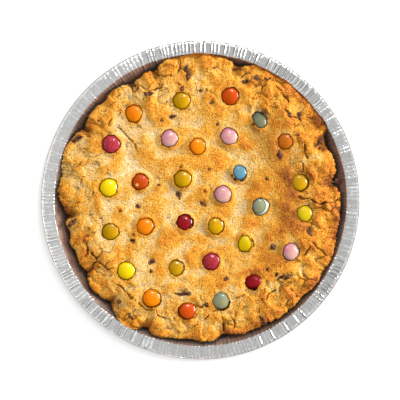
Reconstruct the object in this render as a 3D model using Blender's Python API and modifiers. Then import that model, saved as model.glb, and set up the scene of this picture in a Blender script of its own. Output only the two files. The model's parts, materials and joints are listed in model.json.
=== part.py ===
# A giant cookie pie: one thick cookie baked in a round crimped foil dish, with
# chocolate chips in the dough and sugar-shelled chocolate buttons pressed into it.
# Metres, +Z up. The origin is on the table, under the middle of the dish.

import math
import random

import bmesh
import bpy
from mathutils import Matrix, Vector, noise

# Foil dish
DISH_RADIUS = 0.1150
DISH_HEIGHT = 0.0300
BASE_RADIUS = 0.0895
BASE_CORNER = 0.0020
MOUTH_RADIUS = 0.1062
LIP_DROP = 0.0018
FOIL = 0.0004
PLEAT_STEPS = 216
PLEAT_RISE = 0.0006
PLEAT_IN_WALL = 0.0003

# Cookie
COOKIE_RADIUS = 0.1028
COOKIE_TOP = 0.0272
COOKIE_EDGE_DROP = 0.0040
EDGE_ROUNDING = 0.0075
RAISED_RING = 0.0014
BROAD_RELIEF = 0.0011
BROAD_SPAN = 0.0240
LUMP_RELIEF = 0.0009
LUMP_SPAN = 0.0095
EDGE_LUMPS = 0.0016
GRID = 38
GAP = 0.0007

# A button is a lentil. Its dimple in the dough is wider than its socket.
BUTTON_RADIUS = 0.0068
BUTTON_HALF_HEIGHT = 0.0033
BUTTON_SIDES = 12
SOCKET_GAP = 0.0004
DIMPLE_DEPTH = 0.0007
DIMPLE_RADIUS = 0.0115

CHIP_SIZE = 0.0036

# Where the photograph's pixels lie on the cookie
PIXEL = 0.230 / 317
MIDDLE_PIXEL = (200.5, 200.0)

COLOURS = {
    "yellow": (0.93, 0.66, 0.01),
    "olive": (0.66, 0.40, 0.01),
    "orange": (0.95, 0.30, 0.01),
    "brick": (0.72, 0.13, 0.01),
    "red": (0.48, 0.02, 0.03),
    "pink": (0.78, 0.42, 0.34),
    "blue": (0.32, 0.52, 0.58),
    "grey": (0.28, 0.32, 0.20),
}

# Each button: pixel across, pixel down, colour, how far its middle is sunk in
# millimetres, its tilt in degrees and the way that its face leans, from +X towards +Y.
BUTTONS = [
    (181.6, 100.6, "olive", 0.9, 6, 200),
    (230.2, 96.4, "brick", 0.7, 8, 250),
    (133.8, 113.5, "orange", 0.9, 10, 180),
    (259.9, 119.9, "grey", 1.6, 24, 45),
    (111.2, 144.1, "red", 0.2, 4, 120),
    (169.3, 138.3, "pink", 0.9, 5, 90),
    (197.8, 146.2, "orange", 1.5, 8, 0),
    (229.2, 136.2, "pink", 0.9, 6, 45),
    (285.5, 141.5, "orange", 2.0, 14, 190),
    (240.0, 171.9, "blue", 2.6, 16, 30),
    (108.7, 187.7, "yellow", 0.2, 4, 60),
    (140.0, 181.8, "brick", 1.4, 10, 150),
    (182.6, 178.9, "olive", 0.7, 5, 160),
    (300.0, 182.3, "olive", 1.2, 7, 20),
    (223.0, 194.2, "pink", 0.8, 8, 45),
    (260.9, 206.6, "grey", 0.9, 5, 330),
    (305.1, 213.4, "yellow", 1.7, 12, 45),
    (110.2, 231.8, "olive", 1.2, 10, 270),
    (145.0, 226.5, "orange", 1.0, 6, 100),
    (183.7, 222.3, "red", 2.1, 12, 110),
    (215.7, 226.1, "olive", 1.5, 7, 0),
    (244.9, 244.0, "yellow", 1.6, 26, 200),
    (291.2, 251.9, "pink", 0.9, 20, 20),
    (126.2, 270.8, "yellow", 0.4, 5, 90),
    (176.1, 268.2, "olive", 2.1, 8, 60),
    (211.2, 261.7, "red", 0.9, 5, 100),
    (253.2, 281.2, "red", 2.0, 28, 120),
    (151.6, 298.3, "orange", 0.2, 8, 40),
    (187.5, 310.8, "brick", 1.1, 12, 60),
    (220.7, 300.6, "grey", 1.2, 10, 120),
]

# Each chip that shows well: pixel across, pixel down, size against CHIP_SIZE.
CHIPS = [
    (188.7, 73.4, 1.0),
    (148.0, 94.9, 0.8),
    (212.1, 102.2, 0.8),
    (246.4, 81.3, 0.8),
    (258.1, 79.6, 0.7),
    (299.4, 115.2, 0.9),
    (319.5, 142.1, 0.8),
    (278.8, 155.0, 0.7),
    (330.5, 183.0, 0.8),
    (266.4, 181.2, 0.7),
    (171.0, 116.7, 0.8),
    (76.6, 139.1, 0.9),
    (178.1, 194.6, 0.8),
    (203.0, 203.5, 0.9),
    (137.4, 206.8, 0.7),
    (132.6, 242.1, 0.7),
    (151.5, 261.7, 0.8),
    (183.4, 292.4, 1.1),
    (131.9, 318.5, 0.8),
    (72.1, 222.4, 0.8),
    (225.6, 279.3, 0.7),
    (267.6, 266.7, 0.7),
    (285.3, 277.4, 1.1),
    (314.6, 233.4, 1.0),
    (273.5, 244.5, 0.8),
    (259.1, 315.3, 0.9),
]

# Where the cookie's outline swells or shrinks: angle, half width, millimetres.
OUTLINE_SWELLS = [
    (8, 16, -0.8),
    (42, 15, 2.8),
    (86, 10, 3.0),
    (114, 16, -2.6),
    (163, 12, 1.8),
    (190, 9, -2.2),
    (214, 11, -3.2),
    (248, 13, 1.4),
    (296, 14, -1.4),
    (338, 9, 1.0),
    (5, 2.5, -1.2),
    (29, 3, -2.0),
    (75, 3.5, -2.4),
    (97, 3, -1.2),
    (124, 3, -1.0),
    (151, 2.5, -1.0),
    (186, 3, -1.8),
    (206, 2.5, -1.2),
    (212.5, 2.5, -1.2),
    (227, 2.5, -2.4),
    (247.5, 2, -1.6),
    (283, 3, -1.0),
    (306, 3, -1.2),
    (322, 3, -1.0),
]
LOBE_RELIEF = 0.0012
LOBE_COUNT = 5.2


def placed(across, down):
    """A pixel of the photograph as a point on the cookie."""
    x = (across - MIDDLE_PIXEL[0]) * PIXEL
    y = (MIDDLE_PIXEL[1] - down) * PIXEL
    return x, y


def ease(share):
    """0 to 1, without a corner at either end."""
    share = min(1.0, max(0.0, share))
    return share * share * (3.0 - 2.0 * share)


def wallRadius(z):
    """The inner face of the dish's wall at this height."""
    return BASE_RADIUS + (MOUTH_RADIUS - BASE_RADIUS) * z / DISH_HEIGHT - FOIL


def outlineRadius(angle):
    """The cookie's outline, which swells, shrinks and breaks into small lobes."""
    radius = COOKIE_RADIUS
    for middle, half, swell in OUTLINE_SWELLS:
        away = (math.degrees(angle) - middle + 180.0) % 360.0 - 180.0
        radius += swell * 0.001 * math.exp(-((away / half) ** 2))
    ringPoint = Vector((math.cos(angle), math.sin(angle), 0.4)) * LOBE_COUNT
    radius += LOBE_RELIEF * noise.noise(ringPoint)
    return radius


def doughHeight(x, y):
    """Height of the cookie's top, before it rounds off at its edge."""
    fromMiddle = math.hypot(x, y) / COOKIE_RADIUS
    height = COOKIE_TOP + RAISED_RING * ease((fromMiddle - 0.35) / 0.5)
    height += BROAD_RELIEF * noise.noise(Vector((x, y, 0.013)) / BROAD_SPAN)
    lumps = LUMP_RELIEF + (EDGE_LUMPS - LUMP_RELIEF) * ease((fromMiddle - 0.6) / 0.35)
    height += lumps * noise.noise(Vector((x, y, 0.031)) / LUMP_SPAN)
    return height


def dimpledHeight(x, y):
    """The top with a shallow dimple pressed in round each button."""
    height = doughHeight(x, y)
    for across, down, *_ in BUTTONS:
        bx, by = placed(across, down)
        near = math.hypot(x - bx, y - by) / DIMPLE_RADIUS
        height -= DIMPLE_DEPTH * math.exp(-near * near * 1.5)
    return height


def surfaceHeight(x, y):
    """The finished top: it rounds off at its edge, or climbs where it meets the wall."""
    radius = math.hypot(x, y)
    inward = (outlineRadius(math.atan2(y, x)) - radius) / EDGE_ROUNDING
    inward = min(1.0, max(0.0, inward))
    rounded = 1.0 - math.sqrt(1.0 - (1.0 - inward) ** 2)
    height = dimpledHeight(x, y) - COOKIE_EDGE_DROP * rounded
    wallRun = (MOUTH_RADIUS - BASE_RADIUS) / DISH_HEIGHT
    return max(height, (radius + FOIL + GAP - BASE_RADIUS) / wallRun)


def topPoint(u, v):
    """Where a point of the square grid, -1 to 1 each way, lies on the cookie's top."""
    share = max(abs(u), abs(v))
    if share == 0.0:
        return Vector((0.0, 0.0, surfaceHeight(0.0, 0.0)))
    if abs(u) >= abs(v):
        angle = math.pi / 4 * v / u + (0.0 if u > 0 else math.pi)
    else:
        angle = math.pi / 2 - math.pi / 4 * u / v + (0.0 if v > 0 else math.pi)
    radius = share * outlineRadius(angle)
    x, y = radius * math.cos(angle), radius * math.sin(angle)
    return Vector((x, y, surfaceHeight(x, y)))


def newObject(name, mesh, collection):
    made = bpy.data.objects.new(name, mesh)
    collection.objects.link(made)
    return made


def paint(obj, colour, roughness, metallic=0.0):
    """Its own Principled material."""
    material = bpy.data.materials.new(obj.name)
    material.use_nodes = True
    shader = material.node_tree.nodes["Principled BSDF"]
    shader.inputs["Base Color"].default_value = (*colour, 1.0)
    shader.inputs["Roughness"].default_value = roughness
    shader.inputs["Metallic"].default_value = metallic
    obj.data.materials.clear()
    obj.data.materials.append(material)


def pleatPattern():
    """1 on each step round the rim that is the crest of a pleat, in uneven groups."""
    chance = random.Random(7)
    crests = [0.0] * PLEAT_STEPS
    step = 0
    while step < PLEAT_STEPS - 1:
        for _ in range(chance.randint(2, 4)):
            if step < PLEAT_STEPS:
                crests[step] = chance.uniform(0.6, 1.0)
            step += 2
        step += chance.randint(1, 2)
    return crests


def buildDish(collection):
    """The pleated foil dish: a turned sheet, pressed into pleats, then thickened."""
    bm = bmesh.new()
    profile = [
        (0.0, 0.0),
        (BASE_RADIUS - BASE_CORNER, 0.0),
        (BASE_RADIUS + BASE_CORNER / 2, BASE_CORNER),
        (MOUTH_RADIUS, DISH_HEIGHT - FOIL - PLEAT_RISE),
        (DISH_RADIUS - LIP_DROP / 2 - FOIL, DISH_HEIGHT - FOIL - PLEAT_RISE),
        (DISH_RADIUS - FOIL, DISH_HEIGHT - FOIL - PLEAT_RISE - LIP_DROP),
    ]
    points = [bm.verts.new((radius, 0.0, z)) for radius, z in profile]
    edges = [bm.edges.new(pair) for pair in zip(points, points[1:])]
    bmesh.ops.spin(
        bm,
        geom=points + edges,
        cent=(0, 0, 0),
        axis=(0, 0, 1),
        angle=2 * math.pi,
        steps=PLEAT_STEPS,
        use_merge=True,
    )
    bmesh.ops.remove_doubles(bm, verts=bm.verts, dist=0.00001)
    crests = pleatPattern()
    for vert in bm.verts:
        radius = math.hypot(vert.co.x, vert.co.y)
        if radius < BASE_RADIUS:
            continue
        angle = math.atan2(vert.co.y, vert.co.x)
        crest = crests[round(angle / (2 * math.pi) * PLEAT_STEPS) % PLEAT_STEPS]
        up = ease((radius - BASE_RADIUS) / (MOUTH_RADIUS - BASE_RADIUS))
        if radius > MOUTH_RADIUS - 0.001:
            vert.co.z += crest * PLEAT_RISE
        if radius < MOUTH_RADIUS + 0.001:
            inwards = 1.0 + crest * PLEAT_IN_WALL * up / radius
            vert.co.x *= inwards
            vert.co.y *= inwards
    bmesh.ops.recalc_face_normals(bm, faces=bm.faces)
    underside = min(bm.faces, key=lambda face: face.calc_center_median().length)
    if underside.normal.z < 0:
        bmesh.ops.reverse_faces(bm, faces=bm.faces)
    mesh = bpy.data.meshes.new("foil_dish")
    bm.to_mesh(mesh)
    bm.free()
    dish = newObject("foil_dish", mesh, collection)
    sheet = dish.modifiers.new("Foil", "SOLIDIFY")
    sheet.thickness = FOIL
    sheet.offset = 1.0
    paint(dish, (0.80, 0.80, 0.80), 0.30, 1.0)
    return dish


def buildCookie(collection):
    """The cookie: a lumpy round top on sides that follow the dish's wall."""
    bm = bmesh.new()
    bmesh.ops.create_grid(bm, x_segments=GRID, y_segments=GRID, size=1.0)
    rim = [edge for edge in bm.edges if edge.is_boundary]
    for vert in bm.verts:
        vert.co = topPoint(vert.co.x, vert.co.y)
    sides = [
        (FOIL + GAP + 0.0030, 0.0),
        (FOIL + GAP, 0.0022),
    ]
    for z, inset in sides:
        made = bmesh.ops.extrude_edge_only(bm, edges=rim)["geom"]
        rim = [item for item in made if isinstance(item, bmesh.types.BMEdge)]
        ring = [item for item in made if isinstance(item, bmesh.types.BMVert)]
        for vert in ring:
            angle = math.atan2(vert.co.y, vert.co.x)
            radius = min(outlineRadius(angle), wallRadius(z) - GAP) - inset
            vert.co = (radius * math.cos(angle), radius * math.sin(angle), z)
    bmesh.ops.edgeloop_fill(bm, edges=rim)
    bmesh.ops.recalc_face_normals(bm, faces=bm.faces)
    mesh = bpy.data.meshes.new("cookie")
    bm.to_mesh(mesh)
    bm.free()
    cookie = newObject("cookie", mesh, collection)
    paint(cookie, (0.78, 0.42, 0.10), 0.85)
    return cookie


def buildChips(collection):
    """Rough chocolate chips that stand a little out of the dough."""
    chance = random.Random(3)
    for number, (across, down, size) in enumerate(CHIPS):
        bm = bmesh.new()
        bmesh.ops.create_icosphere(bm, subdivisions=1, radius=CHIP_SIZE * size)
        x, y = placed(across, down)
        turn = Matrix.Rotation(chance.uniform(0, math.pi), 4, "Z")
        tilt = Matrix.Rotation(chance.uniform(-0.5, 0.5), 4, "X")
        squash = Matrix.Diagonal((1.15, 0.8, 0.7, 1.0))
        centre = Vector((x, y, surfaceHeight(x, y) - CHIP_SIZE * size * 0.2))
        bm.transform(Matrix.Translation(centre) @ turn @ tilt @ squash)
        mesh = bpy.data.meshes.new(f"chip_{number}")
        bm.to_mesh(mesh)
        bm.free()
        newObject(mesh.name, mesh, collection)


def lentil(name, grown, sides):
    """A button's mesh about its own middle, or that of its slightly larger socket."""
    bm = bmesh.new()
    bmesh.ops.create_uvsphere(bm, u_segments=sides, v_segments=4, radius=1.0)
    across, high = BUTTON_RADIUS + grown, BUTTON_HALF_HEIGHT + grown
    bm.transform(Matrix.Diagonal((across, across, high, 1.0)))
    mesh = bpy.data.meshes.new(name)
    bm.to_mesh(mesh)
    bm.free()
    return mesh


def buildButtons(buttonsIn, socketsIn):
    """The buttons and, for each, the socket that is cut from the dough."""
    for number, (across, down, colour, sunk, tilt, towards) in enumerate(BUTTONS, 1):
        x, y = placed(across, down)
        heading = math.radians(towards)
        leanAxis = Vector((-math.sin(heading), math.cos(heading), 0.0))
        centre = Vector((x, y, surfaceHeight(x, y) + DIMPLE_DEPTH - sunk * 0.001))
        matrix = Matrix.Translation(centre)
        matrix @= Matrix.Rotation(math.radians(tilt), 4, leanAxis)
        name = f"button_{number:02d}"
        button = newObject(name, lentil(name, 0.0, BUTTON_SIDES), buttonsIn)
        button.matrix_world = matrix
        button.data.shade_smooth()
        paint(button, COLOURS[colour], 0.25)
        socket = newObject(f"socket_{number:02d}", lentil("socket", SOCKET_GAP, BUTTON_SIDES), socketsIn)
        socket.matrix_world = matrix
        socket.hide_render = True
        socket.display_type = "WIRE"


def boolean(obj, operation, collection):
    cut = obj.modifiers.new(operation.title(), "BOOLEAN")
    cut.operation = operation
    cut.operand_type = "COLLECTION"
    cut.collection = collection
    cut.solver = "EXACT"


def main():
    for old in list(bpy.data.objects):
        bpy.data.objects.remove(old)
    pie = bpy.data.collections.new("cookie_pie")
    chips = bpy.data.collections.new("chips")
    sockets = bpy.data.collections.new("cutters")
    for collection in (pie, chips, sockets):
        bpy.context.scene.collection.children.link(collection)
    buildDish(pie)
    cookie = buildCookie(pie)
    buildChips(chips)
    buildButtons(pie, sockets)
    # The chips are joined to the dough for good, so that they are one solid with it.
    boolean(cookie, "UNION", chips)
    bpy.context.view_layer.update()
    graph = bpy.context.evaluated_depsgraph_get()
    joined = bpy.data.meshes.new_from_object(cookie.evaluated_get(graph))
    cookie.modifiers.clear()
    cookie.data = joined
    for chip in list(chips.objects):
        bpy.data.objects.remove(chip)
    bpy.data.collections.remove(chips)
    boolean(cookie, "DIFFERENCE", sockets)


main()
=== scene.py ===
# A giant cookie pie: a cookie baked in a crimped foil dish, with chocolate chips in its
# dough and sugar-shelled chocolate buttons in its top, seen from straight above.
import json
import math
import random

import bmesh
import bpy
import numpy as np
from mathutils import Matrix, Vector, noise


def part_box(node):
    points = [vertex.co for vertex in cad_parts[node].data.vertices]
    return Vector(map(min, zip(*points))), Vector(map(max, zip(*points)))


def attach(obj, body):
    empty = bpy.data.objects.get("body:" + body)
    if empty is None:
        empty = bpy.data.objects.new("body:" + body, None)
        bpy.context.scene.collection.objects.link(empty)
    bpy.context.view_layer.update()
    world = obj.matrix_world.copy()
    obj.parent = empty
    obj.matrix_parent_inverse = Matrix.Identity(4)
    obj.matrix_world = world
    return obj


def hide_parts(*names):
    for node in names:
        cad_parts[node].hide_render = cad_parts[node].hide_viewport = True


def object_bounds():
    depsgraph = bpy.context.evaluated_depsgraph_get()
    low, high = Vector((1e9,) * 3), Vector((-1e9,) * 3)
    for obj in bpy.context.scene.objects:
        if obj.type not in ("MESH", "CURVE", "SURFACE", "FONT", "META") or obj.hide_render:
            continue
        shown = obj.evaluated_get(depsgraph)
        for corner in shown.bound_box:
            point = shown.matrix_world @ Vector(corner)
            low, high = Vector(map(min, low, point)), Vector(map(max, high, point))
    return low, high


noise.seed_set(7)  # noise_vector would start from the clock otherwise
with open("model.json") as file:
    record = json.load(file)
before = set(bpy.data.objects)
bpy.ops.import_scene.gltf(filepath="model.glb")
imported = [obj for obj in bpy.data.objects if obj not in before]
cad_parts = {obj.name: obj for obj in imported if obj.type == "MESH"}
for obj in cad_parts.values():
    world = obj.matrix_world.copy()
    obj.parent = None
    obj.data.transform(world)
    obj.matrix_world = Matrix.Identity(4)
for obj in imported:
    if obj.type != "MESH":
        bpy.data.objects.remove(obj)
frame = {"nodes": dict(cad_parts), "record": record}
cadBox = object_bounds()
dishLow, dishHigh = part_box("foil_dish")

photo = {
    "across": 400,  # pixels
    "dishAcross": 317,  # the dish's width there, in pixels
    "middle": (200.5, 200.0),  # the dish's middle there, in pixels
}
pixel = (dishHigh.x - dishLow.x) / photo["dishAcross"]
mm = 0.001


def spot(across, down):
    # a pixel of the photograph as a place on the cookie
    return (across - photo["middle"][0]) * pixel, (photo["middle"][1] - down) * pixel


def ease(share):
    # 0 to 1 without a corner at either end
    share = min(1.0, max(0.0, share))
    return share * share * (3.0 - 2.0 * share)


class Shade:
    # a socket that gives a value: sums on it add Math nodes
    def __init__(self, look, socket):
        self.look = look
        self.socket = socket

    def math(self, operation, *values):
        return self.look.node("ShaderNodeMath", {"operation": operation}, dict(enumerate(values)))

    def __add__(self, other):
        return self.math("ADD", self, other)

    def __sub__(self, other):
        return self.math("SUBTRACT", self, other)

    def __rsub__(self, other):
        return self.math("SUBTRACT", other, self)

    def __mul__(self, other):
        return self.math("MULTIPLY", self, other)

    def __pow__(self, other):
        return self.math("POWER", self, other)

    __radd__ = __add__
    __rmul__ = __mul__

    def between(self, low, high):
        # 0 below low, 1 above high, smooth between them
        settings = {"interpolation_type": "SMOOTHSTEP"}
        return self.look.node("ShaderNodeMapRange", settings, {0: self, 1: low, 2: high})


class Look:
    # a material and the one way that its nodes are made
    def __init__(self, name, world=None):
        self.material = world or bpy.data.materials.new(name)
        self.material.use_nodes = True
        self.tree = self.material.node_tree
        self.skin = self.tree.nodes["Background" if world else "Principled BSDF"]

    def feed(self, node, values):
        for name, value in values.items():
            if isinstance(value, Shade):
                self.tree.links.new(value.socket, node.inputs[name])
            else:
                node.inputs[name].default_value = value

    def node(self, kind, settings, values, out=0):
        made = self.tree.nodes.new(kind)
        for name, value in settings.items():
            if name == "stops":
                self.stops(made.color_ramp.elements, value)
            else:
                setattr(made, name, value)
        self.feed(made, values)
        return Shade(self, made.outputs[out])

    def stops(self, elements, stops):
        while len(elements) < len(stops):
            elements.new(0.5)
        for element, (place, colour) in zip(elements, stops):
            element.position = place
            element.color = (*colour, 1.0)

    def place(self):
        return self.node("ShaderNodeTexCoord", {}, {}, "Object")

    def attribute(self, name):
        return self.node("ShaderNodeAttribute", {"attribute_name": name}, {}, "Fac")

    def axes(self, *names):
        place = self.place()
        return [self.node("ShaderNodeSeparateXYZ", {}, {0: place}, name) for name in names]

    def speckle(self, span, detail=3.0, roughness=0.55):
        # noise from 0 to 1 whose blobs are about span across
        values = {"Vector": self.place(), "Scale": 1.0 / span, "Detail": detail, "Roughness": roughness}
        return self.node("ShaderNodeTexNoise", {}, values, "Fac")

    def away(self, x, y):
        # how far it is from a place, seen from above
        x, y = [at - middle for at, middle in zip(self.axes("X", "Y"), (x, y))]
        return (x * x + y * y) ** 0.5

    def ramp(self, share, stops):
        return self.node("ShaderNodeValToRGB", {"stops": stops}, {0: share}, "Color")

    def mix(self, share, first, second, blend="MIX"):
        first, second = [(*c, 1.0) if isinstance(c, tuple) else c for c in (first, second)]
        settings = {"data_type": "RGBA", "blend_type": blend}
        return self.node("ShaderNodeMix", settings, {0: share, 6: first, 7: second}, 2)

    def bump(self, height, depth, under=None):
        # depth is in metres where height runs from 0 to 1
        values = {"Strength": 1.0, "Distance": depth, "Height": height}
        if under:
            values["Normal"] = under
        return self.node("ShaderNodeBump", {}, values)


def addObject(name, bm, look=None):
    mesh = bpy.data.meshes.new(name)
    bm.to_mesh(mesh)
    bm.free()
    if look:
        mesh.materials.append(look.material)
    made = bpy.data.objects.new(name, mesh)
    bpy.context.scene.collection.objects.link(made)
    return made


def smooth(mesh, degrees):
    # edges that turn by more than this stay sharp
    mesh.shade_smooth()
    mesh.set_sharp_from_angle(angle=math.radians(degrees))


def newPiece(name, bm, look, slotName, *replaced):
    piece = addObject(name, bm, look)
    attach(piece, "root")
    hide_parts(*replaced)
    return piece


# The view, the floor and the light
view = {
    "lens": 85.0,
    "sensor": 36.0,
    "focusHeight": 0.030,  # the height that the photograph's scale is taken at
    "floorReach": 3.0,
    "floorWhite": 0.97,
    "floorGlow": 0.55,
    "shadowFrom": 0.3 * mm,  # beyond the dish's rim, where the floor is darkest
    "shadowReach": 10.5 * mm,  # from there to where it is white
    "shadowMiddle": (-0.7 * mm, -1.2 * mm),
    "shadowDark": 0.02,
    "skyTop": 0.55,  # straight up, which the flat of the foil mirrors
    "skyRing": 0.98,  # part of the way down, which its folds mirror
    "skyFar": 0.12,  # the same ring on the side away from the light
    "skyLow": 0.12,
    "skyTowards": (0.45, 0.89, 0.0),
    "ringFrom": (0.40, 0.60),  # how steeply up the ring begins, and how steeply it ends
    "ringTo": (0.86, 0.96),
}

# Each lamp: where it is, its width and height, its watts
lamps = {
    "north": ((0.15, 0.60, 0.70), (0.26, 0.20), 2.6),
    "east": ((0.95, 0.24, 0.32), (0.50, 0.36), 13.6),
}


def makeSky():
    # dim overhead, a bright ring round that, dim low down
    world = bpy.data.worlds.new("world")
    bpy.context.scene.world = world
    look = Look("sky", world)
    way = look.node("ShaderNodeTexCoord", {}, {}, "Generated")
    up = look.node("ShaderNodeSeparateXYZ", {}, {0: way}, "Z")
    sides = {0: way, 1: view["skyTowards"]}
    lean = look.node("ShaderNodeVectorMath", {"operation": "DOT_PRODUCT"}, sides, "Value")
    bright = view["skyFar"] + (view["skyRing"] - view["skyFar"]) * lean.between(-0.62, -0.35)
    raised, overhead = up.between(*view["ringFrom"]), up.between(*view["ringTo"])
    ring = raised * (1.0 - overhead) * bright
    strength = ring + overhead * view["skyTop"] + (1.0 - raised) * view["skyLow"]
    look.feed(look.skin, {"Color": (1.0, 1.0, 1.0, 1.0), "Strength": strength})


def makeView():
    scene = bpy.context.scene
    scene.view_settings.view_transform = "Standard"
    lens = bpy.data.cameras.new("camera")
    lens.lens = view["lens"]
    lens.sensor_width = view["sensor"]
    camera = bpy.data.objects.new("camera", lens)
    scene.collection.objects.link(camera)
    scene.camera = camera
    seenAcross = photo["across"] * pixel
    aside = (photo["across"] / 2 - photo["middle"][0]) * pixel
    distance = seenAcross * view["lens"] / view["sensor"]
    camera.location = (aside, 0.0, view["focusHeight"] + distance)

    for name, (place, size, watts) in lamps.items():
        light = bpy.data.lights.new(name, "AREA")
        light.shape = "RECTANGLE"
        light.size, light.size_y = size
        light.energy = watts
        lamp = bpy.data.objects.new(name, light)
        lamp.location = place
        lamp.rotation_euler = Vector(place).to_track_quat("Z", "Y").to_euler()
        scene.collection.objects.link(lamp)
    makeSky()


def makeFloor():
    # white, with the photograph's soft shadow close round the dish
    look = Look("floor")
    # the floor's colour darkens close round the dish: a painted shadow
    start = dishHigh.x + view["shadowFrom"]
    beyond = look.away(*view["shadowMiddle"]).between(start, start + view["shadowReach"])
    dark, white = view["shadowDark"], view["floorWhite"]
    look.feed(look.skin, {
        "Base Color": look.mix(beyond, (dark, dark, dark), (white, white, white)),
        "Roughness": 0.9,
        "Specular IOR Level": 0.0,
        "Emission Color": (1.0, 1.0, 1.0, 1.0),
        "Emission Strength": view["floorGlow"],
    })
    bm = bmesh.new()
    bmesh.ops.create_circle(bm, cap_ends=True, segments=96, radius=view["floorReach"])
    floor = addObject("floor", bm, look)


makeView()
makeFloor()
print("view, light and floor are set")


# The foil dish: a turned sheet whose spokes are moved into folds
dish = {
    "baseRadius": 0.0895,
    "mouthRadius": 0.1062,
    "foil": 0.13 * mm,
    "flangeBeyond": 0.9 * mm,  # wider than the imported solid
    "foldHigh": 0.40 * mm,
    "foldInWall": 0.7 * mm,
    "foldPitch": (2.1 * mm, 3.3 * mm),
    "foldsInGroup": (2, 7),
    "foldSkew": 0.45 * mm,
    "plainLand": (0.8 * mm, 4.0 * mm),
    "landStep": 1.3 * mm,
    "beadRadius": 0.45 * mm,
    "beadHigh": 0.08 * mm,
    "creviceWide": 4.2 * mm,  # how far the painted shadow in the gap beside the cookie reaches
    "dent": 0.25 * mm,
    "wobble": 0.12 * mm,
    "rimWave": 0.35 * mm,
    "rimDrop": 0.20 * mm,
    "wallRings": 10,
    "sharpFrom": 28,  # degrees
    "seed": 11,
    "bare": ((0.66, 0.66, 0.65), (1.0, 1.0, 0.98)),
    "greaseAndPaintedReflection": ((0.28, 0.125, 0.070), (0.60, 0.32, 0.20)),
    "crevicePaintedShadow": (0.025, 0.010, 0.006),
    "lipPaintedShade": (0.42, 0.34, 0.28),
    "creasePaintedShade": (0.36, 0.34, 0.30),
}
# Across one fold: how far along its pitch, how high there and how creased, which sets the painted shade in
# its crease
foldShape = [
    (0.0, 0.0, 0.5), (0.13, 0.7, 0.0), (0.24, 1.0, 0.0), (0.31, 1.0, 0.0), (0.46, 0.0, 1.0), (0.62, 0.0, 0.0),
]
# How deep the folds are, by angle in degrees
foldDepths = [
    (-20, 0.7), (-5, 0.5), (30, 0.55), (48, 1.1), (70, 1.2), (108, 1.15), (118, 0.55), (132, 0.35),
    (150, 0.35), (170, 0.45), (182, 0.6), (215, 0.8), (222, 1.3), (247, 1.25), (253, 0.4), (278, 0.4),
    (286, 0.65), (308, 0.85), (332, 1.0),
]


def foldHeight(angle):
    angles, depths = zip(*foldDepths)
    return float(np.interp(math.degrees(angle), angles, depths, period=360))


def dishSpokes():
    # each spoke: how far round it is, its folds on the rim and in the wall, its lean, its crease
    chance = random.Random(dish["seed"])
    around = 2 * math.pi * (dish["mouthRadius"] + 0.004)
    spokes = []
    at = 0.0
    while at < around:
        for fold in range(chance.randint(*dish["foldsInGroup"])):
            pitch = chance.uniform(*dish["foldPitch"])
            strong = chance.uniform(0.55, 1.0) * foldHeight(at / around * 2 * math.pi)
            inWall = 1.0 if fold == 0 else chance.uniform(0.1, 0.5)
            skew = chance.uniform(-1.0, 1.0) * dish["foldSkew"] / around * 2 * math.pi
            for share, high, creased in foldShape:
                bend = high * strong, high * inWall, skew, creased * min(1.0, strong)
                spokes.append((at + share * pitch, *bend))
            at += pitch
        land = chance.uniform(*dish["plainLand"])
        steps = math.ceil(land / dish["landStep"])
        for step in range(steps):
            spokes.append((at + land * step / steps, 0.0, 0.0, 0.0, 0.0))
        at += land
    return [(2 * math.pi * where / at, *rest) for where, *rest in spokes]


def dishProfile():
    # from the middle out, at z above the table
    top = dishHigh.z - dish["foldHigh"]
    base, mouth = dish["baseRadius"], dish["mouthRadius"]
    rim = dishHigh.x + dish["flangeBeyond"] - dish["wobble"]
    # the flat bottom and its stamped rings, in millimetres
    line = [(0.0, 0.5), (24, 0.5), (25.5, 0.15), (28, 0.15), (29.5, 0.5), (54, 0.5), (55.5, 0.15)]
    line += [(58, 0.15), (59.5, 0.5), (80, 0.5), (82, 0.15), (86.5, 0.15)]
    profile = [(radius * mm, high * mm) for radius, high in line]
    for turn in (25, 60):
        angle = math.radians(turn)
        profile.append((base - 1.6 * mm + 1.8 * mm * math.sin(angle), 2.0 * mm * (1.0 - math.cos(angle))))
    for ring in range(1, dish["wallRings"]):
        share = 0.06 + 0.94 * (ring / dish["wallRings"]) ** 0.6  # closer together where the wall shows
        profile.append((base + (mouth - base) * share, (top - 0.6 * mm) * share))
    # the rounded mouth, the flange and the bead round its edge
    profile += [(mouth - 0.10 * mm, top - 0.45 * mm), (mouth, top - 0.20 * mm)]
    profile += [(mouth + 0.15 * mm, top - 0.06 * mm), (mouth + 0.40 * mm, top)]
    bead = dish["beadRadius"]
    profile += [(mouth + 2.4 * mm, top - 0.05 * mm), (rim - 2.7 * mm, top - 0.05 * mm)]
    profile += [(rim - 2.2 * bead, top - 0.05 * mm)]
    for turn in (145, 100, 50, 0, -55):
        angle = math.radians(turn)
        out, up = bead * math.cos(angle), bead * math.sin(angle)
        profile.append((rim - bead + out, top + dish["beadHigh"] - bead + up))
    return profile


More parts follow.
